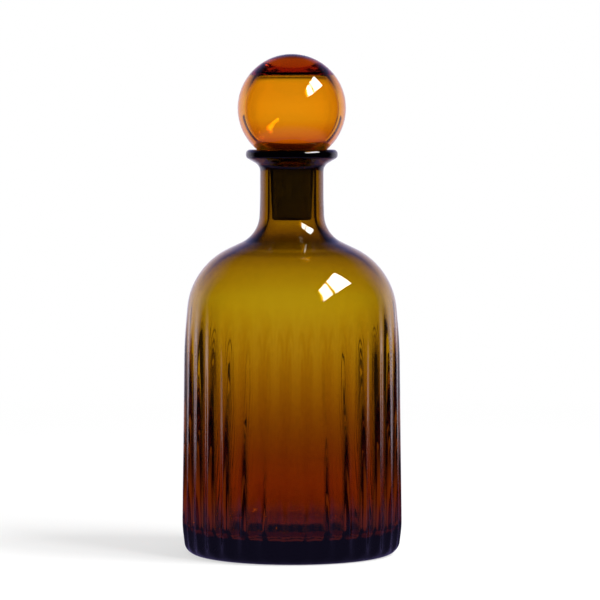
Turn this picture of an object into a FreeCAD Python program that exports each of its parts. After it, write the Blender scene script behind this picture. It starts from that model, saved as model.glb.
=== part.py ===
import FreeCAD, Part
import math
import os
import re
import Sketcher

# Ribbed glass decanter with a ball stopper.
# The foot stands on z = 0 and the bottle's axis is +Z. Lengths are millimetres, angles degrees.
# Heights are measured from the foot plane, radii from the axis, and a rise from the height before it.

SIZES = (
    # Bottle, outside, from the foot up
    ("foot_radius", 52.0, "where the foot plane would meet the heel's slope"),
    ("foot_round", 6.3, "round between foot plane and heel"),
    ("heel_radius", 53.7, "widest radius of the body"),
    ("heel_height", 13.5, "height of the widest place"),
    ("heel_round", 40.0, "easing of the outline at the widest place"),
    ("side_radius", 52.5, "radius at the top of the side wall"),
    ("side_height", 103.2, "height of the top of the side wall"),
    ("side_round", 220.0, "easing of the outline at the top of the side wall"),
    ("shoulder_radius", 49.1, "radius of the shoulder's outer corner"),
    ("shoulder_rise", 36.8, "rise from there to the shoulder's outer corner"),
    ("shoulder_round", 35.5, "round of the shoulder"),
    ("neck_foot_radius", 16.0, "radius where neck and shoulder slopes meet"),
    ("neck_foot_rise", 15.7, "rise of the shoulder's slope to the neck"),
    ("neck_foot_round", 15.3, "hollow round between shoulder and neck"),
    ("neck_radius", 15.4, "radius of the upper neck"),
    ("neck_rise", 18.3, "rise to where the neck becomes straight"),
    ("neck_round", 150.0, "easing of the outline there"),
    ("lip_radius", 22.3, "outer radius of the lip"),
    ("neck_straight", 14.9, "straight neck below the lip's underside"),
    ("lip_slope_rise", 4.0, "rise of the lip's underside from neck to edge"),
    ("lip_edge", 3.9, "height of the lip's edge before it is rounded"),
    ("lip_flare_round", 4.8, "hollow round under the lip"),
    ("lip_lower_round", 1.9, "round at the lip's lower edge"),
    ("lip_upper_round", 2.1, "round at the lip's upper edge"),
    # Bottle, inside
    ("heel_wall", 5.2, "wall at the widest place"),
    ("side_wall", 3.2, "wall at the top of the side"),
    ("shoulder_wall", 3.4, "glass of the shoulder, measured upright"),
    ("base_glass", 11.0, "glass of the base, measured upright"),
    ("inner_heel_round", 6.0, "round between inner floor and wall"),
    ("inner_neck_round", 18.0, "round where the inside narrows to the neck"),
    ("bore_radius", 10.9, "bore of the neck"),
    ("bore_edge_round", 3.0, "round where the bore opens into the mouth"),
    ("mouth_radius", 17.6, "opening of the flared mouth at the lip's top"),
    ("mouth_edge_round", 1.0, "round at the mouth's edge"),
    ("seat_angle", 35.0, "slope of the flared mouth that the ball rests on"),
    # Bottle, hollow under the foot
    ("punt_rise", 4.5, "height of the hollow under the foot"),
    ("punt_crown_radius", 20.0, "flat crown of that hollow"),
    ("punt_edge_radius", 40.0, "edge of that hollow on the foot plane"),
    ("punt_crown_round", 30.0, "round of the crown"),
    ("punt_edge_round", 10.0, "round at its edge"),
    # Bottle, ribs
    ("rib_count", 32.0, "grooves round the body, one between each two ribs"),
    ("groove_depth", 0.9, "depth of the grooves where the body is narrowest"),
    ("groove_glass", 2.3, "least glass left behind a groove"),
    ("groove_tool_radius", 6.0, "roundness of a groove"),
    # Stopper ball with its stem
    ("ball_radius", 26.3, "outer radius of the ball"),
    ("ball_wall", 3.4, "glass of the ball's sides"),
    ("ball_hollow_top", 16.0, "flat top of the hollow above the ball's centre"),
    ("ball_hollow_round", 5.0, "round at the rim of that flat"),
    ("seat_gap", 0.15, "gap between ball and mouth"),
    ("stem_radius", 6.5, "outside of the stem under the ball"),
    ("stem_wall", 3.0, "glass of the stem"),
    ("stem_length", 20.0, "length of stem inside the bung"),
    ("stem_root_round", 2.0, "hollow round where the stem joins the ball"),
    ("throat_round", 3.0, "round where the stem's bore opens into the ball"),
    # Stopper bung
    ("bung_length", 26.0, "height of the bung"),
    ("bung_drop", 2.1, "bare stem between ball and bung"),
    ("bung_gap", 0.3, "gap between the bung's top and the bore"),
    ("bung_taper", 1.1, "how much the bung's radius shrinks to its lower end"),
    ("bung_top_round", 0.8, "round at the bung's upper edge"),
    ("bung_end_round", 1.6, "round at the bung's lower edge"),
    ("bung_hole_spare", 1.0, "hole left below the stem's end"),
)

doc = FreeCAD.newDocument("decanter")


def make_sheet():
    """One row a size: its name, its value under that name, and what it is."""
    sheet = doc.addObject("Spreadsheet::Sheet", "Size")
    for row, (name, value, meaning) in enumerate(SIZES, start=1):
        sheet.set(f"A{row}", name)
        sheet.set(f"B{row}", str(value))
        sheet.set(f"C{row}", meaning)
        sheet.setAlias(f"B{row}", name)
    doc.recompute()
    return sheet


sheet = make_sheet()


def on_sheet(formula):
    """The formula with each size name pointed at the sheet; only size names hold an underscore."""
    return re.sub(r"[a-z]+(?:_[a-z]+)+", lambda name: "Size." + name.group(), formula)


def number(formula):
    return float(sheet.evalExpression(on_sheet(formula)))


def bind(thing, prop, formula):
    thing.setExpression(prop, on_sheet(formula))


# Formulas that more than one piece needs

SHOULDER_HEIGHT = "(side_height + shoulder_rise)"
NECK_FOOT_HEIGHT = f"({SHOULDER_HEIGHT} + neck_foot_rise)"
NECK_HEIGHT = f"({NECK_FOOT_HEIGHT} + neck_rise)"
LIP_HEIGHT = f"({NECK_HEIGHT} + neck_straight + lip_slope_rise + lip_edge)"
SHOULDER_SLOPE = "(neck_foot_rise / (shoulder_radius - neck_foot_radius))"
GROOVE_ROOT = "(min(heel_radius; side_radius) - groove_depth)"
BALL_CENTRE = (
    f"({LIP_HEIGHT} - (mouth_radius - ball_radius * sin(seat_angle)) * tan(seat_angle)"
    " + ball_radius * cos(seat_angle) + seat_gap / cos(seat_angle))"
)
HOLLOW_RADIUS = "(ball_radius - ball_wall)"
STEM_BORE = "(stem_radius - stem_wall)"
STEM_END = "(ball_radius + bung_drop + stem_length)"
BUNG_RADIUS = "(bore_radius - bung_gap)"


# Sketch helpers

def origin_plane(body, role):
    return next(plane for plane in body.Origin.OriginFeatures if plane.Role == role)


def new_body(label, height="0"):
    """An empty body whose own origin lies on the axis at the given height."""
    body = doc.addObject("PartDesign::Body", label)
    body.Label = label
    bind(body, "Placement.Base.z", height)
    return body


def new_sketch(body, name, role="XZ_Plane"):
    sketch = body.newObject("Sketcher::SketchObject", name)
    sketch.AttachmentSupport = (origin_plane(body, role), [""])
    sketch.MapMode = "FlatFace"
    return sketch


def point(x, y):
    return FreeCAD.Vector(x, y, 0)


def add_line(sketch, start, end):
    return sketch.addGeometry(Part.LineSegment(start, end), False)


def add_arc(sketch, centre, start, end):
    """The arc that turns anticlockwise about the centre from start to end."""
    ray_start = start - centre
    ray_end = end - centre
    circle = Part.Circle(centre, FreeCAD.Vector(0, 0, 1), ray_start.Length)
    first = math.atan2(ray_start.y, ray_start.x)
    last = math.atan2(ray_end.y, ray_end.x)
    return sketch.addGeometry(Part.ArcOfCircle(circle, first, last), False)


def fix_size(sketch, kind, where, formula):
    """A dimension of the sketch that follows a formula of the sheet."""
    index = sketch.addConstraint(Sketcher.Constraint(kind, *where, number(formula)))
    bind(sketch, f"Constraints[{index}]", formula)


HORIZONTAL_AXIS = -1
VERTICAL_AXIS = -2
START, END, CENTRE = 1, 2, 3
ORIGIN = (-1, START)

# The two rounds on a side of an outline together take no more of it than this
FULLEST_SIDE = 0.98


def place(sketch, where, x, y):
    """Puts a sketch point at x, y from the origin; a coordinate of 0 puts it on an axis."""
    for kind, axis, formula in (("DistanceX", VERTICAL_AXIS, x), ("DistanceY", HORIZONTAL_AXIS, y)):
        if formula == "0":
            sketch.addConstraint(Sketcher.Constraint("PointOnObject", *where, axis))
        elif formula.startswith("-"):
            fix_size(sketch, kind, (*where, *ORIGIN), formula[1:])
        else:
            fix_size(sketch, kind, (*ORIGIN, *where), formula)


def meet(sketch, first, second):
    sketch.addConstraint(Sketcher.Constraint("Coincident", *first, *second))


def flow(sketch, first, second):
    sketch.addConstraint(Sketcher.Constraint("Tangent", *first, *second))


def fitted_rounds(spots, rounds):
    """Each round's share that its two sides have room for (1 where it fits), and how far it then reaches."""
    after = spots[1:] + spots[:1]
    runs = [end - start for start, end in zip(spots, after)]
    turns = [runs[i - 1].getAngle(run) for i, run in enumerate(runs)]
    reach = [number(size) * math.tan(turn / 2) for size, turn in zip(rounds, turns)]
    taken = [start + end for start, end in zip(reach, reach[1:] + reach[:1])]
    lengths = [FULLEST_SIDE * run.Length for run in runs]
    room = [length / max(length, both) for length, both in zip(lengths, taken)]
    shares = [min(room[i - 1], room[i]) for i in range(len(spots))]
    return shares, [length * share for length, share in zip(reach, shares)]


def rounded_outline(sketch, corners):
    """Closed outline through corners (x, y, round), each given as a formula; a round of 0 stays sharp."""
    spots = [point(number(x), number(y)) for x, y, _ in corners]
    shares, reach = fitted_rounds(spots, [roundness for _, _, roundness in corners])
    ways = [(end - start).normalize() for start, end in zip(spots, spots[1:] + spots[:1])]
    starts = [spot + way * length for spot, way, length in zip(spots, ways, reach)]
    ends = [spots[i] - ways[i - 1] * reach[i] for i in range(len(spots))]
    sides = [add_line(sketch, start, end) for start, end in zip(starts, ends[1:] + ends[:1])]
    for i, (x, y, roundness) in enumerate(corners):
        if roundness == "0":
            meet(sketch, (sides[i - 1], END), (sides[i], START))
            place(sketch, (sides[i], START), x, y)
            continue
        fitted = roundness if shares[i] == 1 else f"({roundness}) * {shares[i]}"
        turns_left = ways[i - 1].cross(ways[i]).z > 0
        inward = FreeCAD.Vector(-ways[i - 1].y, ways[i - 1].x, 0) * (1 if turns_left else -1)
        centre = ends[i] + inward * number(fitted)
        if turns_left:
            arc = add_arc(sketch, centre, ends[i], starts[i])
            first, last = START, END
        else:
            arc = add_arc(sketch, centre, starts[i], ends[i])
            first, last = END, START
        corner = sketch.addGeometry(Part.Point(spots[i]), True)
        flow(sketch, (sides[i - 1], END), (arc, first))
        flow(sketch, (arc, last), (sides[i], START))
        fix_size(sketch, "Radius", (arc,), fitted)
        place(sketch, (corner, START), x, y)
        sketch.addConstraint(Sketcher.Constraint("PointOnObject", corner, START, sides[i - 1]))
        sketch.addConstraint(Sketcher.Constraint("PointOnObject", corner, START, sides[i]))


def spin(body, kind, name, sketch):
    """Turns a sketch of half a section right round the body's axis."""
    feature = body.newObject(kind, name)
    feature.Profile = sketch
    feature.ReferenceAxis = (sketch, ["V_Axis"])
    feature.Angle = 360
    sketch.Visibility = False
    return feature


# Bottle: one piece of glass, its section turned round the axis, then grooved between the ribs

def groove_section(body):
    """Round groove, open away from the axis."""
    sketch = new_sketch(body, "groove_round", "XY_Plane")
    middle = f"{GROOVE_ROOT} + groove_tool_radius"
    mouth = "max(heel_radius; side_radius) + groove_tool_radius"
    tool = point(0, number("groove_tool_radius"))
    centre = point(number(middle), 0)
    outward = point(number(mouth), 0)
    root = add_arc(sketch, centre, centre + tool, centre - tool)
    lower = add_line(sketch, centre - tool, outward - tool)
    closing = add_line(sketch, outward - tool, outward + tool)
    upper = add_line(sketch, outward + tool, centre + tool)
    flow(sketch, (root, END), (lower, START))
    meet(sketch, (lower, END), (closing, START))
    meet(sketch, (closing, END), (upper, START))
    flow(sketch, (upper, END), (root, START))
    for side in (lower, upper):
        sketch.addConstraint(Sketcher.Constraint("Horizontal", side))
    sketch.addConstraint(Sketcher.Constraint("Vertical", closing))
    place(sketch, (root, CENTRE), middle, "0")
    fix_size(sketch, "Radius", (root,), "groove_tool_radius")
    fix_size(sketch, "DistanceX", (*ORIGIN, lower, END), mouth)
    return sketch


def make_bottle():
    body = new_body("bottle")
    section = new_sketch(body, "glass_section")
    inner_shoulder = f"{SHOULDER_HEIGHT} + side_wall * {SHOULDER_SLOPE} - shoulder_wall"
    inner_neck = f"{NECK_FOOT_HEIGHT} + (neck_foot_radius - bore_radius) * {SHOULDER_SLOPE} - shoulder_wall"
    mouth_foot = f"{LIP_HEIGHT} - (mouth_radius - bore_radius) * tan(seat_angle)"
    lip_edge_foot = f"{LIP_HEIGHT} - lip_edge"
    behind_grooves = f"{GROOVE_ROOT} - groove_glass"
    outside = [
        ("0", "punt_rise", "0"),
        ("punt_crown_radius", "punt_rise", "punt_crown_round"),
        ("punt_edge_radius", "0", "punt_edge_round"),
        ("foot_radius", "0", "foot_round"),
        ("heel_radius", "heel_height", "heel_round"),
        ("side_radius", "side_height", "side_round"),
        ("shoulder_radius", SHOULDER_HEIGHT, "shoulder_round"),
        ("neck_foot_radius", NECK_FOOT_HEIGHT, "neck_foot_round"),
        ("neck_radius", NECK_HEIGHT, "neck_round"),
        ("neck_radius", f"{lip_edge_foot} - lip_slope_rise", "lip_flare_round"),
        ("lip_radius", lip_edge_foot, "lip_lower_round"),
        ("lip_radius", LIP_HEIGHT, "lip_upper_round"),
    ]
    inside = [
        ("mouth_radius", LIP_HEIGHT, "mouth_edge_round"),
        ("bore_radius", mouth_foot, "bore_edge_round"),
        ("bore_radius", inner_neck, "inner_neck_round"),
        ("shoulder_radius - side_wall", inner_shoulder, "shoulder_round - side_wall"),
        (f"min(side_radius - side_wall; {behind_grooves})", "side_height", "side_round - side_wall"),
        (f"min(heel_radius - heel_wall; {behind_grooves})", "base_glass", "inner_heel_round"),
        ("punt_edge_radius", "base_glass", "punt_edge_round"),
        ("punt_crown_radius", "punt_rise + base_glass", "punt_crown_round"),
        ("0", "punt_rise + base_glass", "0"),
    ]
    rounded_outline(section, outside + inside)
    spin(body, "PartDesign::Revolution", "glass", section)
    doc.recompute()
    plain_volume = body.Shape.Volume

    groove_round = groove_section(body)
    groove = body.newObject("PartDesign::Pocket", "groove")
    groove.Profile = groove_round
    groove.Type = "Length"
    bind(groove, "Length", SHOULDER_HEIGHT)
    groove.Reversed = True
    groove_round.Visibility = False

    grooves = body.newObject("PartDesign::PolarPattern", "grooves")
    grooves.Originals = [groove]
    grooves.Axis = (origin_plane(body, "Z_Axis"), [""])
    grooves.Angle = 360
    bind(grooves, "Occurrences", "rib_count")
    body.Tip = grooves
    doc.recompute()
    if body.Shape.Volume >= plain_volume:
        raise SystemExit("the grooves cut nothing from the bottle")
    return body


# Stopper ball: hollow glass ball, thick at its crown, with the hollow stem that carries the bung

def make_stopper_ball():
    body = new_body("stopper_ball", BALL_CENTRE)
    outer = number("ball_radius")
    hollow = number(HOLLOW_RADIUS)
    stem = number("stem_radius")
    bore = number(STEM_BORE)
    stem_end = -number(STEM_END)
    root = number("stem_root_round")
    throat = number("throat_round")
    rim = number("ball_hollow_round")
    flat = number("ball_hollow_top")
    middle = point(0, 0)

    ball = new_sketch(body, "ball_and_stem")
    root_centre = point(stem + root, -math.sqrt((outer + root) ** 2 - (stem + root) ** 2))
    root_on_ball = root_centre * (outer / (outer + root))
    root_on_stem = root_centre - point(root, 0)
    crown = point(0, outer)
    skin = add_arc(ball, middle, root_on_ball, crown)
    stem_root = add_arc(ball, root_centre, root_on_ball, root_on_stem)
    stem_side = add_line(ball, root_on_stem, point(stem, stem_end))
    stem_foot = add_line(ball, point(stem, stem_end), point(0, stem_end))
    axis = add_line(ball, point(0, stem_end), crown)
    meet(ball, (skin, CENTRE), ORIGIN)
    fix_size(ball, "Radius", (skin,), "ball_radius")
    fix_size(ball, "Radius", (stem_root,), "stem_root_round")
    flow(ball, (skin, START), (stem_root, START))
    flow(ball, (stem_root, END), (stem_side, START))
    meet(ball, (stem_side, END), (stem_foot, START))
    meet(ball, (stem_foot, END), (axis, START))
    meet(ball, (axis, END), (skin, END))
    ball.addConstraint(Sketcher.Constraint("Vertical", stem_side))
    place(ball, (stem_side, END), "stem_radius", f"-{STEM_END}")
    ball.addConstraint(Sketcher.Constraint("Horizontal", stem_foot))
    ball.addConstraint(Sketcher.Constraint("PointOnObject", axis, START, VERTICAL_AXIS))
    ball.addConstraint(Sketcher.Constraint("PointOnObject", axis, END, VERTICAL_AXIS))
    spin(body, "PartDesign::Revolution", "solid_ball", ball)
    doc.recompute()
    solid_volume = body.Shape.Volume

    air = new_sketch(body, "hollow_and_bore")
    rim_centre = point(math.sqrt((hollow - rim) ** 2 - (flat - rim) ** 2), flat - rim)
    rim_on_hollow = rim_centre * (hollow / (hollow - rim))
    rim_on_flat = rim_centre + point(0, rim)
    throat_centre = point(bore + throat, -math.sqrt((hollow + throat) ** 2 - (bore + throat) ** 2))
    throat_on_hollow = throat_centre * (hollow / (hollow + throat))
    throat_on_bore = throat_centre - point(throat, 0)
    wall = add_arc(air, middle, throat_on_hollow, rim_on_hollow)
    flat_rim = add_arc(air, rim_centre, rim_on_hollow, rim_on_flat)
    flat_top = add_line(air, rim_on_flat, point(0, flat))
    axis = add_line(air, point(0, flat), point(0, stem_end))
    bore_foot = add_line(air, point(0, stem_end), point(bore, stem_end))
    bore_side = add_line(air, point(bore, stem_end), throat_on_bore)
    bore_throat = add_arc(air, throat_centre, throat_on_hollow, throat_on_bore)
    meet(air, (wall, CENTRE), ORIGIN)
    fix_size(air, "Radius", (wall,), HOLLOW_RADIUS)
    fix_size(air, "Radius", (flat_rim,), "ball_hollow_round")
    fix_size(air, "Radius", (bore_throat,), "throat_round")
    flow(air, (wall, END), (flat_rim, START))
    flow(air, (flat_rim, END), (flat_top, START))
    meet(air, (flat_top, END), (axis, START))
    meet(air, (axis, END), (bore_foot, START))
    meet(air, (bore_foot, END), (bore_side, START))
    flow(air, (bore_side, END), (bore_throat, END))
    flow(air, (bore_throat, START), (wall, START))
    air.addConstraint(Sketcher.Constraint("Horizontal", flat_top))
    place(air, (flat_top, END), "0", "ball_hollow_top")
    air.addConstraint(Sketcher.Constraint("PointOnObject", axis, END, VERTICAL_AXIS))
    air.addConstraint(Sketcher.Constraint("Horizontal", bore_foot))
    air.addConstraint(Sketcher.Constraint("Vertical", bore_side))
    place(air, (bore_foot, END), STEM_BORE, f"-{STEM_END}")
    spin(body, "PartDesign::Groove", "hollow", air)
    doc.recompute()
    if body.Shape.Volume >= solid_volume:
        raise SystemExit("the hollow cuts nothing from the ball")
    return body


# Stopper bung: tapered rubber with a blind hole that grips the stem

def make_stopper_bung():
    body = new_body("stopper_bung", f"{BALL_CENTRE} - ball_radius - bung_drop - bung_length")
    section = new_sketch(body, "bung_section")
    hole_floor = "bung_length - stem_length - bung_hole_spare"
    rounded_outline(section, [
        ("0", "0", "0"),
        (f"{BUNG_RADIUS} - bung_taper", "0", "bung_end_round"),
        (BUNG_RADIUS, "bung_length", "bung_top_round"),
        ("stem_radius", "bung_length", "0"),
        ("stem_radius", hole_floor, "0"),
        ("0", hole_floor, "0"),
    ])
    spin(body, "PartDesign::Revolution", "bung", section)
    return body


# Checks and files

def check_document(bodies):
    doc.recompute()
    for thing in doc.Objects:
        if "Invalid" in thing.State or "Error" in thing.State:
            raise SystemExit(f"{thing.Name} failed: {thing.State}")
    for body in bodies:
        if body.Shape.isNull() or not body.Shape.isValid() or len(body.Shape.Solids) != 1:
            raise SystemExit(f"{body.Label} is not one valid solid")


def write_parts(bodies):
    os.makedirs("parts", exist_ok=True)
    for body in bodies:
        body.Shape.exportStep(f"parts/{body.Label}.step")
        box = body.Shape.BoundBox
        print(f"{body.Label}: {body.Shape.Volume / 1000:.1f} cm3, z {box.ZMin:.2f} to {box.ZMax:.2f}")


pieces = [make_bottle(), make_stopper_ball(), make_stopper_bung()]
check_document(pieces)
write_parts(pieces)
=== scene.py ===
import math

import bmesh
import bpy
from mathutils import Matrix, Vector


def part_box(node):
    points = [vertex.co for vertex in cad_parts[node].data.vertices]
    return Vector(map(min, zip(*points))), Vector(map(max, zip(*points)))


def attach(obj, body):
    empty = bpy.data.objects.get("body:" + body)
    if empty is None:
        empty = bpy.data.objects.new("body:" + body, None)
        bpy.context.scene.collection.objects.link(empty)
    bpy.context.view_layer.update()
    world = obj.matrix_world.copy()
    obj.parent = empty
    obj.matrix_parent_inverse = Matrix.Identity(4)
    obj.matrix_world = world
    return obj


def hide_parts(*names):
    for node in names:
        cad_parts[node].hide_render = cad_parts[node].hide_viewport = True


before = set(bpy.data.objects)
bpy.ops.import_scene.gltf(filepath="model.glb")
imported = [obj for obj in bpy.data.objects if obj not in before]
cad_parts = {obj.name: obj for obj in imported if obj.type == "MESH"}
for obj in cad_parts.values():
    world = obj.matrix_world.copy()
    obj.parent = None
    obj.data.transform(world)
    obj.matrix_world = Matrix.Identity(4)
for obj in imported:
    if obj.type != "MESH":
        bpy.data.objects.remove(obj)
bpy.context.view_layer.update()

# Ribbed amber decanter with a hollow glass ball for a stopper, on a pale floor.
# Blender works in metres; sizes written in millimetres are multiplied by MM where they are used.

MM = 0.001

# Bottle, in millimetres: radii from the axis, heights from the foot plane, and the rounds of the corners
FOOT_RADIUS, FOOT_ROUND = 52.0, 6.3
HEEL_RADIUS, HEEL_HEIGHT, HEEL_ROUND = 53.7, 13.5, 40.0
SIDE_RADIUS, SIDE_HEIGHT, SIDE_ROUND = 52.5, 103.2, 220.0
SHOULDER_RADIUS, SHOULDER_HEIGHT, SHOULDER_ROUND = 49.1, 140.0, 35.5
NECK_FOOT_RADIUS, NECK_FOOT_HEIGHT, NECK_FOOT_ROUND = 16.0, 155.7, 15.3
NECK_RADIUS, NECK_HEIGHT, NECK_ROUND = 15.4, 174.0, 150.0
LIP_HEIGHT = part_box("bottle")[1].z / MM
LIP_RADIUS, LIP_EDGE, LIP_SLOPE_RISE = 22.3, 3.9, 4.0
LIP_ROOT_ROUND, LIP_UNDER_ROUND, LIP_TOP_ROUND = 4.8, 1.9, 2.1
MOUTH_RADIUS, MOUTH_ROUND = 17.6, 1.0
SEAT_ANGLE, SEAT_ROUND = math.radians(35.0), 3.0
BORE_RADIUS, INNER_NECK_ROUND, INNER_HEEL_ROUND = 10.9, 18.0, 6.0
HEEL_WALL, SIDE_WALL, SHOULDER_WALL, BASE_GLASS = 5.2, 3.2, 3.4, 11.0
PUNT_RISE = 4.5
PUNT_CROWN_RADIUS, PUNT_CROWN_ROUND = 20.0, 30.0
PUNT_EDGE_RADIUS, PUNT_EDGE_ROUND = 40.0, 10.0

# Ribs: grooves of a round tool, softened where a groove meets the next rib; the outer skin starts a
# little outside the inner wall
RIB_COUNT = 32
GROOVE_ROOT, GROOVE_TOOL, RIB_SOFTNESS = 51.6, 6.0, 0.5
SKIN_MARGIN = 0.2

# The inside follows the ribs at the heel: in full at the first height and radius, not at all at the second
RIPPLE_FADES_UP = (14.0, 80.0)
RIPPLE_FADES_IN = (46.0, 34.0)

# Stopper, in millimetres: the ball's and the stem's heights from the ball's centre
BALL_RADIUS, BALL_WALL = 26.3, 3.4
BALL_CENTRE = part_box("stopper_ball")[1].z / MM - BALL_RADIUS
HOLLOW_TOP, HOLLOW_RIM_ROUND = 16.0, 5.0
STEM_RADIUS, STEM_WALL, STEM_ROOT_ROUND, THROAT_ROUND = 6.5, 3.0, 2.0, 3.0
STEM_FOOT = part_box("stopper_ball")[0].z / MM - BALL_CENTRE
BUNG_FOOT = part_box("stopper_bung")[0].z / MM
BUNG_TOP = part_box("stopper_bung")[1].z / MM
BUNG_RADIUS, BUNG_TAPER, BUNG_TOP_ROUND, BUNG_END_ROUND = 10.6, 1.1, 0.8, 1.6
BUNG_END_THICKNESS, BUNG_HOLE_ROUND = 5.0, 0.3

# How finely outlines are followed: a chord's turn and lengths in millimetres, and steps round the axis
CHORD_TURN, ARC_CHORD, LONGEST_CHORD = math.radians(5.0), 2.0, 8.0
FEWEST_CHORDS = 2
STEPS_A_RIB = 12
BOTTLE_STEPS = RIB_COUNT * STEPS_A_RIB
STOPPER_STEPS = 160
WELD_METRES = 1e-7

# Glass: smears, scratches and a slow swell. Patterns are in waves a metre, with the values that count;
# the band that is scratched is in millimetres.
GLASS_IOR = 1.5
SMEAR_WAVES, SMEAR_VALUES, SMEAR_ROUGHNESS = 45.0, (0.45, 0.75), 0.03
SCRATCH_WAVES, SCRATCH_VALUES, SCRATCH_ROUGHNESS = 900.0, (0.4, 0.65), 0.5
WORN_BAND = 1.5
SWELL_WAVES, SWELL_STRETCH = 38.0, (1, 1, 0.35)
SWELL_STRENGTH, SWELL_METRES = 0.25, 0.0004

# Rubber: a bloom that lightens and dulls it, and a fine grain
BLOOM_WAVES, BLOOM_VALUES, BLOOM_ROUGHNESS = 160.0, (0.3, 0.7), (0.5, 0.72)
BLOOM_BLACKS = [(0.35, (0.006, 0.005, 0.005)), (0.8, (0.018, 0.016, 0.016))]
GRAIN_WAVES, GRAIN_STRENGTH, GRAIN_METRES = 1800.0, 0.3, 0.0001
RUBBER_SPECULAR = 0.2


# Outlines and turned meshes

def arc_points(centre, start, turn):
    """Points on the arc that leaves start and turns about the centre, both ends included."""
    ray = start - centre
    steps = math.ceil(max(abs(turn) / CHORD_TURN, abs(turn) * ray.length / ARC_CHORD, FEWEST_CHORDS))
    return [centre + Matrix.Rotation(turn * step / steps, 2) @ ray for step in range(steps + 1)]


def rounded_outline(corners):
    """Open outline through corners (radius, height, round), with its ends left sharp."""
    spots = [Vector((radius, height)) for radius, height, _ in corners]
    points = [spots[0]]
    for before, spot, after, (_, _, bend) in zip(spots, spots[1:], spots[2:], corners[1:]):
        way_in = (spot - before).normalized()
        way_out = (after - spot).normalized()
        turn = math.atan2(way_in.cross(way_out), way_in.dot(way_out))
        start = spot - way_in * bend * math.tan(abs(turn) / 2)
        side = math.copysign(1.0, turn)
        centre = start + Vector((-way_in.y, way_in.x)) * side * bend
        points += arc_points(centre, start, turn)
    return points + [spots[-1]]


def spread(points):
    """The same outline with its long straight stretches divided."""
    divided = [points[0]]
    for start, end in zip(points, points[1:]):
        steps = max(1, math.ceil((end - start).length / LONGEST_CHORD))
        divided += [start.lerp(end, step / steps) for step in range(1, steps + 1)]
    return divided


def turned(outline, steps):
    """Closed mesh turned round the axis from an outline that starts and ends on it."""
    mesh = bmesh.new()
    spots = [mesh.verts.new((spot.x * MM, 0, spot.y * MM)) for spot in spread(outline)]
    runs = [mesh.edges.new(pair) for pair in zip(spots, spots[1:])]
    bmesh.ops.spin(
        mesh, geom=spots + runs, cent=(0, 0, 0), axis=(0, 0, 1), angle=math.tau, steps=steps, use_merge=True
    )
    bmesh.ops.remove_doubles(mesh, verts=mesh.verts, dist=WELD_METRES)
    return mesh


def finished_piece(name, mesh, material):
    """A smooth-shaded object at the origin from a bmesh."""
    bmesh.ops.recalc_face_normals(mesh, faces=mesh.faces)
    for face in mesh.faces:
        face.smooth = True
    data = bpy.data.meshes.new(name)
    mesh.to_mesh(data)
    mesh.free()
    data.materials.append(material)
    piece = bpy.data.objects.new(name, data)
    bpy.context.scene.collection.objects.link(piece)
    return piece


# Steps that materials share

def new_material(name):
    """A node material, its nodes and links, its Principled shader and its output."""
    material = bpy.data.materials.new(name)
    material.use_nodes = True
    nodes, links = material.node_tree.nodes, material.node_tree.links
    return material, nodes, links, nodes["Principled BSDF"], nodes["Material Output"]


def noise(nodes, links, waves, detail, stretch=(1, 1, 1)):
    """A noise pattern's value on object coordinates, which a stretch scales along each axis."""
    place = nodes.new("ShaderNodeTexCoord")
    scaled = nodes.new("ShaderNodeMapping")
    scaled.inputs["Scale"].default_value = stretch
    links.new(place.outputs["Object"], scaled.inputs["Vector"])
    pattern = nodes.new("ShaderNodeTexNoise")
    pattern.inputs["Scale"].default_value = waves
    pattern.inputs["Detail"].default_value = detail
    links.new(scaled.outputs["Vector"], pattern.inputs["Vector"])
    return pattern.outputs["Fac"]


def ramp(nodes, links, value, stops):
    """Colours by a value from 0 to 1; stops are (position, colour)."""
    colours = nodes.new("ShaderNodeValToRGB")
    elements = colours.color_ramp.elements
    while len(elements) < len(stops):
        elements.new(0.5)
    for element, (position, colour) in zip(elements, stops):
        element.position = position
        element.color = (*colour, 1.0)
    links.new(value, colours.inputs["Fac"])
    return colours.outputs["Color"]


def mapped(nodes, links, value, from_range, to_range=(0.0, 1.0)):
    """A value moved linearly from one range to another and held at the ends."""
    change = nodes.new("ShaderNodeMapRange")
    change.inputs["From Min"].default_value, change.inputs["From Max"].default_value = from_range
    change.inputs["To Min"].default_value, change.inputs["To Max"].default_value = to_range
    links.new(value, change.inputs["Value"])
    return change.outputs["Result"]


def worked_out(nodes, links, operation, *values):
    """The result of a Math node on other nodes' values."""
    maths = nodes.new("ShaderNodeMath")
    maths.operation = operation
    for value, socket in zip(values, maths.inputs):
        links.new(value, socket)
    return maths.outputs["Value"]


def mixed(nodes, links, factor, first, second):
    """Colour that goes from first to second with a factor; each is a colour or a node's output."""
    mix = nodes.new("ShaderNodeMix")
    mix.data_type = "RGBA"
    links.new(factor, mix.inputs["Factor"])
    colours = [socket for socket in mix.inputs if socket.type == "RGBA"]
    for socket, colour in zip(colours, (first, second)):
        if isinstance(colour, tuple):
            socket.default_value = colour
        else:
            links.new(colour, socket)
    return next(socket for socket in mix.outputs if socket.type == "RGBA")


def height_up(nodes, links, low, high):
    """Height as 0 at low to 1 at high, both in millimetres."""
    place = nodes.new("ShaderNodeTexCoord")
    parts = nodes.new("ShaderNodeSeparateXYZ")
    links.new(place.outputs["Object"], parts.inputs["Vector"])
    return mapped(nodes, links, parts.outputs["Z"], (low * MM, high * MM))


def uneven(nodes, links, pattern, strength, metres):
    """A normal bent by a pattern of a given depth."""
    bump = nodes.new("ShaderNodeBump")
    bump.inputs["Strength"].default_value = strength
    bump.inputs["Distance"].default_value = metres
    links.new(pattern, bump.inputs["Height"])
    return bump.outputs["Normal"]


# Glass and rubber

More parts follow.
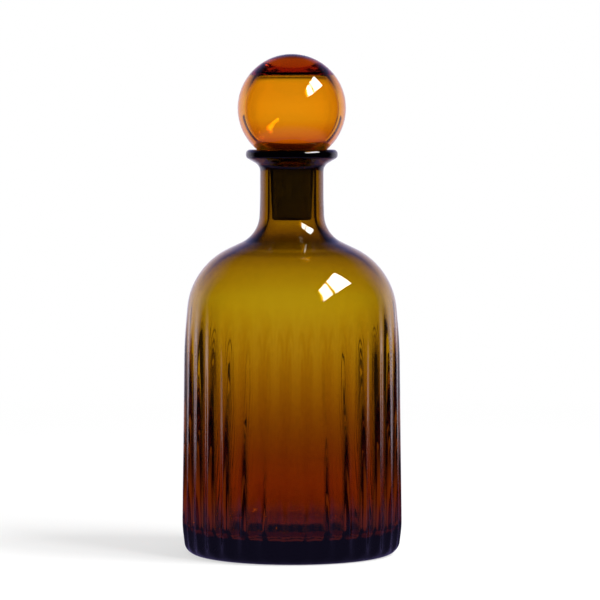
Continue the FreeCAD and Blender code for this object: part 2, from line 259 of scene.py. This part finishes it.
def glass_roughness(nodes, links, worn_height):
    """Faint smears all over, and scratches where the glass stands."""
    smears = noise(nodes, links, SMEAR_WAVES, detail=3.0)
    smears = mapped(nodes, links, smears, SMEAR_VALUES, (0.0, SMEAR_ROUGHNESS))
    scratches = noise(nodes, links, SCRATCH_WAVES, detail=2.0)
    scratches = mapped(nodes, links, scratches, SCRATCH_VALUES, (0.0, SCRATCH_ROUGHNESS))
    worn = height_up(nodes, links, worn_height + WORN_BAND, worn_height)
    return worked_out(nodes, links, "MULTIPLY_ADD", worn, scratches, smears)


def blown_glass(name, tints_and_painted_shade, absorbs, density, worn_height):
    """Slightly wavy glass that absorbs by thickness; colour by height, as (height in millimetres, colour),
    gives its tint and any painted shade.
    """
    material, nodes, links, shader, output = new_material(name)
    low, high = tints_and_painted_shade[0][0], tints_and_painted_shade[-1][0]
    stops = [((height - low) / (high - low), colour) for height, colour in tints_and_painted_shade]
    links.new(ramp(nodes, links, height_up(nodes, links, low, high), stops), shader.inputs["Base Color"])
    shader.inputs["Transmission Weight"].default_value = 1.0
    shader.inputs["IOR"].default_value = GLASS_IOR
    links.new(glass_roughness(nodes, links, worn_height), shader.inputs["Roughness"])
    swell = noise(nodes, links, SWELL_WAVES, detail=1.0, stretch=SWELL_STRETCH)
    links.new(uneven(nodes, links, swell, SWELL_STRENGTH, SWELL_METRES), shader.inputs["Normal"])
    volume = nodes.new("ShaderNodeVolumeAbsorption")
    volume.inputs["Color"].default_value = (*absorbs, 1.0)
    volume.inputs["Density"].default_value = density
    links.new(volume.outputs["Volume"], output.inputs["Volume"])
    return material


def bottle_glass():
    """Red brown at the foot, olive gold up to the shoulder; painted shade darkens the base, the lip and
    where the shoulder meets the neck.
    """
    return blown_glass(
        "bottle_glass",
        tints_and_painted_shade=[
            # painted shade: the base, below the inner floor, darkened to its deepest red brown
            (11.0, (0.32, 0.14, 0.1)),
            (20.0, (0.52, 0.2, 0.1)),
            (28.0, (0.64, 0.26, 0.1)),
            (40.0, (0.57, 0.25, 0.12)),
            (53.0, (0.56, 0.31, 0.15)),
            (90.0, (0.74, 0.58, 0.4)),
            (105.0, (0.82, 0.71, 0.6)),
            (124.0, (0.94, 0.94, 1.0)),
            (139.0, (0.84, 0.78, 0.7)),
            # painted shade: a dark band where the shoulder gathers to the neck
            (147.5, (0.68, 0.6, 0.5)),
            (149.5, (0.3, 0.24, 0.25)),
            (153.0, (0.36, 0.28, 0.3)),
            (157.0, (0.62, 0.52, 0.4)),
            (161.0, (0.75, 0.68, 0.5)),
            (172.0, (0.6, 0.57, 0.5)),
            # painted shade: the lip darkened towards its top
            (184.0, (0.58, 0.55, 0.5)),
            (188.5, (0.35, 0.32, 0.35)),
        ],
        absorbs=(0.888, 0.802, 0.0),
        density=850.0,
        worn_height=0.0,
    )


def ball_glass():
    """More orange glass than the bottle's; painted shade makes it dark red down in the mouth, and it is dark
    red at the thick crown.
    """
    return blown_glass(
        "ball_glass",
        tints_and_painted_shade=[
            # painted shade: the stem and the ball's underside, down in the neck, darkened
            (190.0, (0.3, 0.15, 0.1)),
            (197.0, (0.38, 0.22, 0.2)),
            (199.0, (0.8, 0.42, 0.4)),
            (202.5, (0.86, 0.52, 0.7)),
            (211.0, (0.97, 0.73, 0.8)),
            (230.0, (0.98, 0.74, 0.8)),
            (234.0, (0.7, 0.7, 0.6)),
        ],
        absorbs=(0.968, 0.875, 0.0),
        density=800.0,
        worn_height=BALL_CENTRE + STEM_FOOT,
    )


def bung_rubber():
    """Black moulded rubber with a fine grain and a faint bloom."""
    material, nodes, links, shader, _ = new_material("bung_rubber")
    bloom = noise(nodes, links, BLOOM_WAVES, detail=5.0)
    links.new(ramp(nodes, links, bloom, BLOOM_BLACKS), shader.inputs["Base Color"])
    links.new(mapped(nodes, links, bloom, BLOOM_VALUES, BLOOM_ROUGHNESS), shader.inputs["Roughness"])
    shader.inputs["Specular IOR Level"].default_value = RUBBER_SPECULAR
    grain = noise(nodes, links, GRAIN_WAVES, detail=3.0)
    links.new(uneven(nodes, links, grain, GRAIN_STRENGTH, GRAIN_METRES), shader.inputs["Normal"])
    return material


# Bottle

def bottle_outline():
    """From the crown of the hollow under the foot, up the outside, over the lip and down the inside."""
    slope = (NECK_FOOT_HEIGHT - SHOULDER_HEIGHT) / (SHOULDER_RADIUS - NECK_FOOT_RADIUS)
    inner_shoulder = SHOULDER_HEIGHT + SIDE_WALL * slope - SHOULDER_WALL
    inner_neck = NECK_FOOT_HEIGHT + (NECK_FOOT_RADIUS - BORE_RADIUS) * slope - SHOULDER_WALL
    seat_foot = LIP_HEIGHT - (MOUTH_RADIUS - BORE_RADIUS) * math.tan(SEAT_ANGLE)
    outside = [
        (0, PUNT_RISE, 0),
        (PUNT_CROWN_RADIUS, PUNT_RISE, PUNT_CROWN_ROUND),
        (PUNT_EDGE_RADIUS, 0, PUNT_EDGE_ROUND),
        (FOOT_RADIUS, 0, FOOT_ROUND),
        (HEEL_RADIUS, HEEL_HEIGHT, HEEL_ROUND),
        (SIDE_RADIUS, SIDE_HEIGHT, SIDE_ROUND),
        (SHOULDER_RADIUS, SHOULDER_HEIGHT, SHOULDER_ROUND),
        (NECK_FOOT_RADIUS, NECK_FOOT_HEIGHT, NECK_FOOT_ROUND),
        (NECK_RADIUS, NECK_HEIGHT, NECK_ROUND),
        (NECK_RADIUS, LIP_HEIGHT - LIP_EDGE - LIP_SLOPE_RISE, LIP_ROOT_ROUND),
        (LIP_RADIUS, LIP_HEIGHT - LIP_EDGE, LIP_UNDER_ROUND),
        (LIP_RADIUS, LIP_HEIGHT, LIP_TOP_ROUND),
    ]
    inside = [
        (MOUTH_RADIUS, LIP_HEIGHT, MOUTH_ROUND),
        (BORE_RADIUS, seat_foot, SEAT_ROUND),
        (BORE_RADIUS, inner_neck, INNER_NECK_ROUND),
        (SHOULDER_RADIUS - SIDE_WALL, inner_shoulder, SHOULDER_ROUND - SIDE_WALL),
        (SIDE_RADIUS - SIDE_WALL, SIDE_HEIGHT, SIDE_ROUND - SIDE_WALL),
        (HEEL_RADIUS - HEEL_WALL, BASE_GLASS, INNER_HEEL_ROUND),
        (PUNT_EDGE_RADIUS, BASE_GLASS, PUNT_EDGE_ROUND),
        (PUNT_CROWN_RADIUS, PUNT_RISE + BASE_GLASS, PUNT_CROWN_ROUND),
        (0, PUNT_RISE + BASE_GLASS, 0),
    ]
    return rounded_outline(outside + inside)


def softer_of(first, second):
    """The smaller of two radii, blended where they are nearly the same."""
    low, high = min(first, second), max(first, second)
    return low - RIB_SOFTNESS * math.log1p(math.exp((low - high) / RIB_SOFTNESS))


def groove_radius(angle):
    """Radius of the groove's round tool at an angle round the axis."""
    pitch = math.tau / RIB_COUNT
    off = (angle + pitch / 2) % pitch - pitch / 2
    middle = GROOVE_ROOT + GROOVE_TOOL
    return middle * math.cos(off) - math.sqrt(GROOVE_TOOL ** 2 - (middle * math.sin(off)) ** 2)


def faded(value, full, none):
    """1 at full, 0 at none, straight between and held beyond."""
    return min(1.0, max(0.0, (none - value) / (none - full)))


def ribbed(radius, height, angle):
    """Radius to which the grooves bring a point of the bottle; the hollow under the foot stays smooth."""
    groove = groove_radius(angle)
    if radius > SIDE_RADIUS - SIDE_WALL + SKIN_MARGIN and height < SHOULDER_HEIGHT:
        return softer_of(radius, groove)
    if height > PUNT_RISE:
        depth = HEEL_RADIUS - softer_of(HEEL_RADIUS, groove)
        return radius - depth * faded(height, *RIPPLE_FADES_UP) * faded(radius, *RIPPLE_FADES_IN)
    return radius


def cut_grooves(mesh):
    """Moves the body's outer skin in along the grooves, and the inside with it at the heel."""
    for vert in mesh.verts:
        radius, height = math.hypot(vert.co.x, vert.co.y) / MM, vert.co.z / MM
        moved = ribbed(radius, height, math.atan2(vert.co.y, vert.co.x))
        if moved != radius:
            vert.co.x *= moved / radius
            vert.co.y *= moved / radius


def make_bottle():
    """The bottle's one piece of glass."""
    mesh = turned(bottle_outline(), BOTTLE_STEPS)
    cut_grooves(mesh)
    bottle = finished_piece("bottle_glass_body", mesh, bottle_glass())
    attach(bottle, "bottle")
    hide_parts("bottle")


# Stopper

def ball_outline():
    """Down the ball and its stem from the crown, and up the bore to the flat top of the hollow."""
    hollow = BALL_RADIUS - BALL_WALL
    bore = STEM_RADIUS - STEM_WALL
    middle = Vector((0, 0))
    root = Vector((STEM_RADIUS + STEM_ROOT_ROUND, 0))
    root.y = -math.sqrt((BALL_RADIUS + STEM_ROOT_ROUND) ** 2 - root.x ** 2)
    throat = Vector((bore + THROAT_ROUND, 0))
    throat.y = -math.sqrt((hollow + THROAT_ROUND) ** 2 - throat.x ** 2)
    rim = Vector((0, HOLLOW_TOP - HOLLOW_RIM_ROUND))
    rim.x = math.sqrt((hollow - HOLLOW_RIM_ROUND) ** 2 - rim.y ** 2)
    root_angle = math.atan2(root.y, root.x)
    throat_angle = math.atan2(throat.y, throat.x)
    rim_angle = math.atan2(rim.y, rim.x)
    points = arc_points(middle, Vector((0, BALL_RADIUS)), root_angle - math.pi / 2)
    points += arc_points(root, root - root.normalized() * STEM_ROOT_ROUND, math.pi + root_angle)[1:]
    points += [Vector((STEM_RADIUS, STEM_FOOT)), Vector((bore, STEM_FOOT))]
    points += arc_points(throat, throat - Vector((THROAT_ROUND, 0)), -(math.pi + throat_angle))
    points += arc_points(middle, throat.normalized() * hollow, rim_angle - throat_angle)[1:]
    points += arc_points(rim, rim.normalized() * hollow, math.pi / 2 - rim_angle)[1:]
    points.append(Vector((0, HOLLOW_TOP)))
    return [point + Vector((0, BALL_CENTRE)) for point in points]


def make_stopper_ball():
    """The ball and its stem, whose bore runs up into the hollow."""
    ball = finished_piece("stopper_glass_ball", turned(ball_outline(), STOPPER_STEPS), ball_glass())
    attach(ball, "stopper")
    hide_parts("stopper_ball")


def bung_outline():
    """Round the end, up the tapered side and down into the blind hole for the stem."""
    hole_floor = BUNG_FOOT + BUNG_END_THICKNESS
    return rounded_outline([
        (0, BUNG_FOOT, 0),
        (BUNG_RADIUS - BUNG_TAPER, BUNG_FOOT, BUNG_END_ROUND),
        (BUNG_RADIUS, BUNG_TOP, BUNG_TOP_ROUND),
        (STEM_RADIUS, BUNG_TOP, BUNG_HOLE_ROUND),
        (STEM_RADIUS, hole_floor, BUNG_HOLE_ROUND),
        (0, hole_floor, 0),
    ])


def make_stopper_bung():
    """The rubber bung that grips the stem and closes the neck."""
    bung = finished_piece("stopper_rubber_bung", turned(bung_outline(), STOPPER_STEPS), bung_rubber())
    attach(bung, "stopper")
    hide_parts("stopper_bung")


# Room: floor, walls, window and camera, in metres; a pair is where a change starts and where it ends

WHITE = (1.0, 1.0, 1.0, 1.0)
FLOOR_SIZE, FLOOR_SQUARES = 5.2, 8
FLOOR_COLOUR, FLOOR_ROUGHNESS = (0.9, 0.9, 0.9, 1.0), 0.9
FLOOR_WHITE_SHARE, FLOOR_FADES = 0.6, (0.25, 0.9)
ROOM_LIGHT = (0.55, 0.55, 0.55, 1.0)

# What the glass shows of the room: how far a sheet reaches under the object, and how high the walls are
SHEET_REACH = (0.22, 0.32)
WALL_TOP = (math.sin(math.radians(8.0)), math.sin(math.radians(24.0)))

# Rays through the glass meet a white sheet and white walls under a dim ceiling, with dark screens on each
# side behind the object. A screen is four angles from straight behind: its outer edge, then its inner edge.
OUTER_SCREEN = (90.0, 84.0, 51.0, 48.0)
INNER_SCREEN = (42.0, 40.0, 31.0, 26.0)
SCREEN_END = (2.2, 2.6)
DIM_THROUGH_GLASS = (0.03, 0.028, 0.035, 1.0)

# Mirrored rays meet a dark blue sheet, a pale wall behind the object and a dim room elsewhere
SHEET_END = (0.32, 0.6)
WALL_EDGE = (math.cos(math.radians(70.0)), math.cos(math.radians(48.0)))
CEILING_EDGE = (math.sin(math.radians(24.0)), math.sin(math.radians(44.0)))
DIM_IN_MIRROR = (0.012, 0.01, 0.02, 1.0)
SHEET_IN_MIRROR = (0.11, 0.09, 0.24, 1.0)
WALL_IN_MIRROR = (0.82, 0.77, 0.95, 1.0)
UPPER_WALL_IN_MIRROR = (0.28, 0.27, 0.6, 1.0)

# Window in the wall at the right: two panes, from nearer the camera to farther
WINDOW_WALL, WINDOW_SILL, WINDOW_HEAD = 1.2, 1.09, 1.99
WINDOW_PANES = ((-1.71, -0.985), (-0.865, -0.08))
WINDOW_RADIANCE = 25.0

# Camera as in the photograph: how far, how high, how far round, and where it looks
CAMERA_DISTANCE = 1.7
CAMERA_HEIGHT = 0.2208
CAMERA_ROUND = math.radians(2.1)
CAMERA_PITCH = math.radians(3.2745)
CAMERA_ASIDE = math.radians(0.134)
PICTURE_PIXELS, FOCAL_PIXELS = 600, 3498.0


def way_behind(nodes, links, way):
    """1 straight behind the object, 0 beside it and -1 before it, for a way out from its axis."""
    level = nodes.new("ShaderNodeVectorMath")
    level.operation = "MULTIPLY"
    level.inputs[1].default_value = (1, 1, 0)
    links.new(way, level.inputs[0])
    unit = nodes.new("ShaderNodeVectorMath")
    unit.operation = "NORMALIZE"
    links.new(level.outputs["Vector"], unit.inputs[0])
    parts = nodes.new("ShaderNodeSeparateXYZ")
    links.new(unit.outputs["Vector"], parts.inputs["Vector"])
    return parts.outputs["Y"]


def screened(nodes, links, behind, *screens):
    """White, with dark screens on each side behind the object."""
    stops = []
    for edges in screens:
        places = [math.cos(math.radians(angle)) for angle in edges]
        colours = (WHITE, DIM_THROUGH_GLASS, DIM_THROUGH_GLASS, WHITE)
        stops += [(place, colour[:3]) for place, colour in zip(places, colours)]
    return ramp(nodes, links, behind, stops)


def floor_through_glass(nodes, links, reach, behind):
    """White near the object, and both screens on the floor behind it; only the outer ones reach the wall."""
    both = screened(nodes, links, behind, OUTER_SCREEN, INNER_SCREEN)
    outer = screened(nodes, links, behind, OUTER_SCREEN)
    screens = mixed(nodes, links, mapped(nodes, links, reach, SCREEN_END), both, outer)
    return mixed(nodes, links, mapped(nodes, links, reach, SHEET_REACH), WHITE, screens)


def floor_in_mirror(nodes, links, reach, behind):
    """The dark blue sheet, which goes over to the pale wall behind and to the dim room elsewhere."""
    wall = mixed(nodes, links, mapped(nodes, links, reach, SHEET_END), SHEET_IN_MIRROR, WALL_IN_MIRROR)
    room = mixed(nodes, links, mapped(nodes, links, behind, WALL_EDGE), DIM_IN_MIRROR, wall)
    return mixed(nodes, links, mapped(nodes, links, reach, SHEET_REACH), SHEET_IN_MIRROR, room)


def pale_floor():
    """Floor that shows mostly white to the eye and takes the object's shadow with the rest."""
    material, nodes, links, shader, output = new_material("pale_floor")
    shader.inputs["Base Color"].default_value = FLOOR_COLOUR
    shader.inputs["Roughness"].default_value = FLOOR_ROUGHNESS
    shader.inputs["Specular IOR Level"].default_value = 0.0
    path = nodes.new("ShaderNodeLightPath")
    place = nodes.new("ShaderNodeTexCoord")
    length = nodes.new("ShaderNodeVectorMath")
    length.operation = "LENGTH"
    links.new(place.outputs["Object"], length.inputs[0])
    reach = length.outputs["Value"]
    behind = way_behind(nodes, links, place.outputs["Object"])
    in_mirror = floor_in_mirror(nodes, links, reach, behind)
    through_glass = floor_through_glass(nodes, links, reach, behind)
    in_glass = mixed(nodes, links, path.outputs["Is Transmission Ray"], in_mirror, through_glass)
    glow = nodes.new("ShaderNodeEmission")
    links.new(mixed(nodes, links, path.outputs["Is Glossy Ray"], WHITE, in_glass), glow.inputs["Color"])
    white_share = mapped(nodes, links, reach, FLOOR_FADES, (FLOOR_WHITE_SHARE, 1.0))
    eye_share = worked_out(nodes, links, "MULTIPLY", white_share, path.outputs["Is Camera Ray"])
    glow_share = worked_out(nodes, links, "MAXIMUM", eye_share, path.outputs["Is Glossy Ray"])
    blend = nodes.new("ShaderNodeMixShader")
    links.new(glow_share, blend.inputs["Fac"])
    links.new(shader.outputs["BSDF"], blend.inputs[1])
    links.new(glow.outputs["Emission"], blend.inputs[2])
    links.new(blend.outputs["Shader"], output.inputs["Surface"])
    return material


def make_floor():
    """A flat square under the object."""
    mesh = bmesh.new()
    bmesh.ops.create_grid(mesh, x_segments=FLOOR_SQUARES, y_segments=FLOOR_SQUARES, size=FLOOR_SIZE / 2)
    floor = finished_piece("floor", mesh, pale_floor())


def make_world():
    """White to the eye and plain as light; glass shows the screened walls and mirrors the wall behind."""
    world = bpy.data.worlds.new("studio")
    bpy.context.scene.world = world
    world.use_nodes = True
    nodes, links = world.node_tree.nodes, world.node_tree.links
    path = nodes.new("ShaderNodeLightPath")
    way = nodes.new("ShaderNodeTexCoord").outputs["Generated"]
    parts = nodes.new("ShaderNodeSeparateXYZ")
    links.new(way, parts.inputs["Vector"])
    up = parts.outputs["Z"]
    behind = way_behind(nodes, links, way)
    low = mapped(nodes, links, up, WALL_TOP, (1.0, 0.0))
    ceiling = mapped(nodes, links, up, CEILING_EDGE)
    upper_wall = mixed(nodes, links, ceiling, UPPER_WALL_IN_MIRROR, DIM_IN_MIRROR)
    wall = mixed(nodes, links, low, upper_wall, WALL_IN_MIRROR)
    in_mirror = mixed(nodes, links, mapped(nodes, links, behind, WALL_EDGE), DIM_IN_MIRROR, wall)
    screens = screened(nodes, links, behind, OUTER_SCREEN)
    through_glass = mixed(nodes, links, low, DIM_THROUGH_GLASS, screens)
    light = mixed(nodes, links, path.outputs["Is Glossy Ray"], ROOM_LIGHT, in_mirror)
    light = mixed(nodes, links, path.outputs["Is Transmission Ray"], light, through_glass)
    light = mixed(nodes, links, path.outputs["Is Camera Ray"], light, WHITE)
    links.new(light, nodes["Background"].inputs["Color"])


def make_window():
    """Two panes of daylight, which light the object and show in its glass."""
    height = WINDOW_HEAD - WINDOW_SILL
    for number, (near, far) in enumerate(WINDOW_PANES):
        pane = bpy.data.lights.new(f"window_pane_{number}", "AREA")
        pane.shape = "RECTANGLE"
        pane.size, pane.size_y = height, far - near
        pane.energy = WINDOW_RADIANCE * math.pi * height * (far - near)
        stand = bpy.data.objects.new(pane.name, pane)
        stand.location = (WINDOW_WALL, (near + far) / 2, WINDOW_SILL + height / 2)
        stand.rotation_euler = (0, math.pi / 2, 0)
        stand.visible_camera = False
        bpy.context.scene.collection.objects.link(stand)


def make_camera():
    """Slightly above the object, with the bottle a little left of the picture's middle."""
    lens = bpy.data.cameras.new("camera")
    lens.lens = lens.sensor_width * FOCAL_PIXELS / PICTURE_PIXELS
    camera = bpy.data.objects.new("camera", lens)
    aside, back = math.sin(CAMERA_ROUND), math.cos(CAMERA_ROUND)
    camera.location = (-CAMERA_DISTANCE * aside, -CAMERA_DISTANCE * back, CAMERA_HEIGHT)
    camera.rotation_euler = (math.pi / 2 - CAMERA_PITCH, 0, -CAMERA_ROUND - CAMERA_ASIDE)
    bpy.context.scene.collection.objects.link(camera)
    bpy.context.scene.camera = camera


# Enough bounces for light to pass every wall of the bottle, the ball and the stem
GLASS_BOUNCES, MIRROR_BOUNCES = 32, 16

make_bottle()
make_stopper_ball()
make_stopper_bung()
make_floor()
make_world()
make_window()
make_camera()

scene = bpy.context.scene
scene.view_settings.view_transform = "Standard"
scene.cycles.max_bounces = GLASS_BOUNCES
scene.cycles.transmission_bounces = GLASS_BOUNCES
scene.cycles.glossy_bounces = MIRROR_BOUNCES
